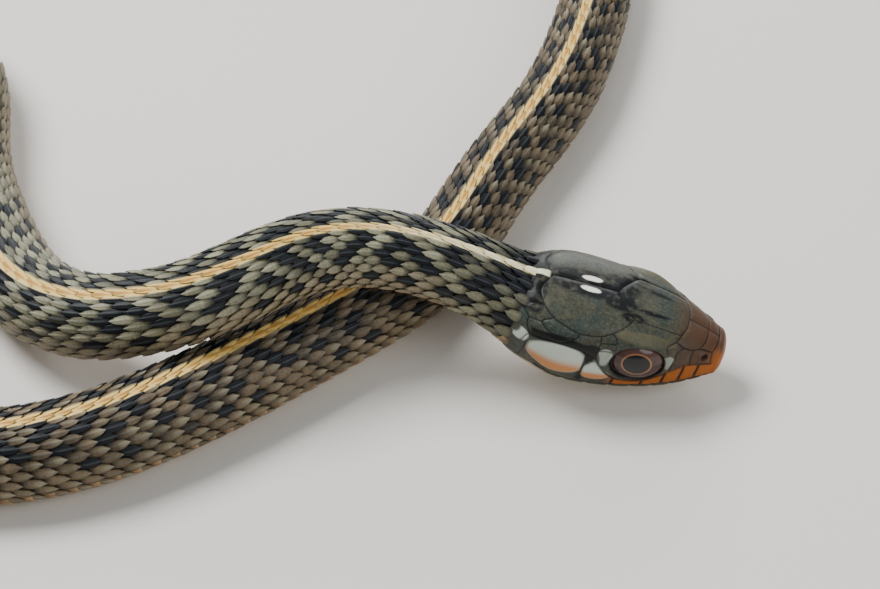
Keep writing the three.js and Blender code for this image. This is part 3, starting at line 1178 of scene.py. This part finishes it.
# Keratin of the belly plates: smooth and pale, and a little glossier than the back
PLATE_KERATIN = Finish(
    name="belly_plate_keratin",
    ground="#C4AE86",
    tints=(
        Tint("#B29A72", "tone"),
        Tint("#765736", "corner", 0.95),
        Tint("#52402A", "corner", 0.6, grain_mm=0.6),
        Tint("#AE9672", "free_edge", 0.6),
        # Painted shade at the roots of the plates, under the overlap of the plates before them
        Tint("#1C1610", "root", 0.85),
        Tint("#0E1014", "dark"),
    ),
    roughness=0.4,
    gloss=0.3,
    relief_mm=0.01,
)

# Soft skin between the scales: matt, and darker than they are
SOFT_SKIN = Finish(
    name="skin_between_scales",
    ground="#221F18",
    tints=(
        Tint("#332E24", grain_mm=0.3),
        Tint("#050608", "dark"),
        Tint("#6B4E26", "stripe"),
        Tint("#3F3020", "belly"),
    ),
    roughness=0.65,
    gloss=0.2,
    relief_mm=0.02,
    relief_grain_mm=0.15,
)

# Keratin of the head's shields: smooth horn with a low sheen, darker in its seams
SHIELD_KERATIN = Finish(
    name="head_shield_keratin",
    ground="#383A31",
    tints=(
        Tint("#424236", grain_mm=0.9),
        Tint("#2E3834", grain_mm=1.3, patchy=0.55),
        Tint("#565545", share=0.55, grain_mm=0.15, patchy=0.6),
        Tint("#1C1B16", share=0.45, grain_mm=0.2, patchy=0.56),
        Tint("#4A3222", "snout", 0.95),
        Tint("#8E4C10", "orange"),
        Tint("#565038", "brow", 0.5),
        Tint("#06080B", "dark", 0.98, 0.14, 0.42, grain_mm=0.45, patchy=0.4),
        Tint("#050708", "ink"),
        Tint("#ADB4A8", "pale"),
        Tint("#AE6A26", "warm", 0.9),
        Tint("#AE986E", "jaw"),
        Tint("#080605", "bar", 0.9, 0.2, 0.8),
        Tint("#0C0A07", "seam", 0.85, 0.1, 0.9),
        # Painted shade in the groove of the mouth line
        Tint("#080504", "gape"),
        Tint("#D2CDAE", "stripe"),
        Tint("#E0DFD2", "spots"),
        # Painted shade inside the eye socket
        Tint("#080605", "socket"),
    ),
    roughness=0.42,
    gloss=0.2,
    relief_mm=0.012,
    relief_grain_mm=0.12,
)

# A wet eye under its clear scale: a dark round pupil in a thin pale ring, a brown iris, and painted shade
# round its edge where it sinks into the socket
WET_EYE = Finish(
    name="wet_eye",
    ground="#241513",
    tints=(
        Tint("#3E2623", "streak"),
        Tint("#5E4036", "high", 0.5),
        Tint("#9A6A40", "gaze", 0.8, 34.0, 31.0),
        Tint("#04060A", "gaze", 1.0, 29.5, 28.0),
        # Painted shade: the edge of the ball, far from the way it looks, is blackened where it sinks into
        # the socket
        Tint("#050403", "gaze", 1.0, 73.0, 82.0),
    ),
    roughness=0.3,
    ior=1.38,
    gloss=0.2,
    wet=0.55,
)

# A plain pale matt board
PLAIN_FLOOR = Finish(name="plain_floor", ground="#CFCBC4", roughness=0.8)


@dataclass(frozen=True)
class Studio:
    """The floor, the soft lights and the camera at the photo's place."""

    target: Pair = (16.9, -13.69)
    elevation: float = math.radians(45)
    distance: float = 250.0
    lens: float = 180.0
    lamps: tuple[tuple[str, tuple[float, float, float], float, float], ...] = (
        ("key", (-0.19, 0.10, 0.30), 0.2, 2.4), ("fill", (0.22, -0.20, 0.22), 0.30, 0.7),
        ("rim", (0.05, 0.32, 0.12), 0.2, 0.7),
    )
    room_light: float = 0.5
    floor_size: float = 4000.0

    def aim(self, thing: Object, at: Vector) -> None:
        """Turn a light or camera to face a point."""
        thing.rotation_euler = (at - thing.location).to_track_quat("-Z", "Y").to_euler()

    def floor(self) -> None:
        """Lay the plain floor."""
        mesh = grid(1, 1)
        put(mesh, (places(mesh) - [0.5, 0.5, 0]) * self.floor_size)
        mesh.materials.append(PLAIN_FLOOR.build())
        new_object("floor", mesh)

    def camera(self) -> None:
        """Set the camera at the photo's angle and framing."""
        lens = bpy.data.cameras.new("photo_camera")
        lens.lens = self.lens
        lens.sensor_width = 36
        lens.clip_start = 0.01
        camera = new_object("photo_camera", lens)
        at = Vector((*self.target, 0)) * MM
        back = Vector((0, -math.cos(self.elevation), math.sin(self.elevation)))
        camera.location = at + back * self.distance * MM
        self.aim(camera, at)
        bpy.context.scene.camera = camera

    def lights(self) -> None:
        """Hang a large soft key light, a fill and a gentle rim light."""
        at = Vector((*self.target, 2)) * MM
        for name, place, size, watts in self.lamps:
            lamp = bpy.data.lights.new(name, "AREA")
            lamp.shape = "DISK"
            lamp.size = size
            lamp.energy = watts
            light = new_object(name, lamp)
            light.location = at + Vector(place)
            self.aim(light, at)
        world = bpy.data.worlds.new("soft_room")
        bpy.context.scene.world = world
        world.use_nodes = True
        sky = world.node_tree.nodes["Background"]
        sky.inputs["Color"].default_value = linear("#DDE3EA")
        sky.inputs["Strength"].default_value = self.room_light


def dress(piece: Object, material: Material) -> None:
    """Give a piece its material and the body it rides on."""
    piece.data.materials.append(material)
    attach(piece, "root")
    log.info("%s: %d faces", piece.name, len(piece.data.polygons))


def main() -> None:
    """Build the snake piece by piece, then the studio round it."""
    logging.basicConfig(level=logging.INFO, format="%(message)s")
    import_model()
    form, marks = Form(), Markings()
    coat = Coat()

    skin = Skin(form, coat, marks).build()
    dress(skin, SOFT_SKIN.build())
    flesh = ["neck", *(f"body_{number}" for number in range(1, 8)), "tail_base", "tail_tip"]
    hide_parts(*flesh)

    shields = HeadShields(form).build()
    dress(shields, SHIELD_KERATIN.build())
    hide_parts("head", "lower_jaw")

    keratin = SCALE_KERATIN.build()
    for piece in ScaleRings(form, coat, marks).build():
        dress(piece, keratin)
    dress(BellyPlates(form, coat, marks).build(), PLATE_KERATIN.build())

    wet = WET_EYE.build()
    for side in Side:
        eye = Eye(side, form)
        ball = eye.build()
        dress(ball, wet)
        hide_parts(eye.node)

    studio = Studio()
    studio.floor()
    studio.camera()
    studio.lights()


if __name__ == "__main__":
    main()
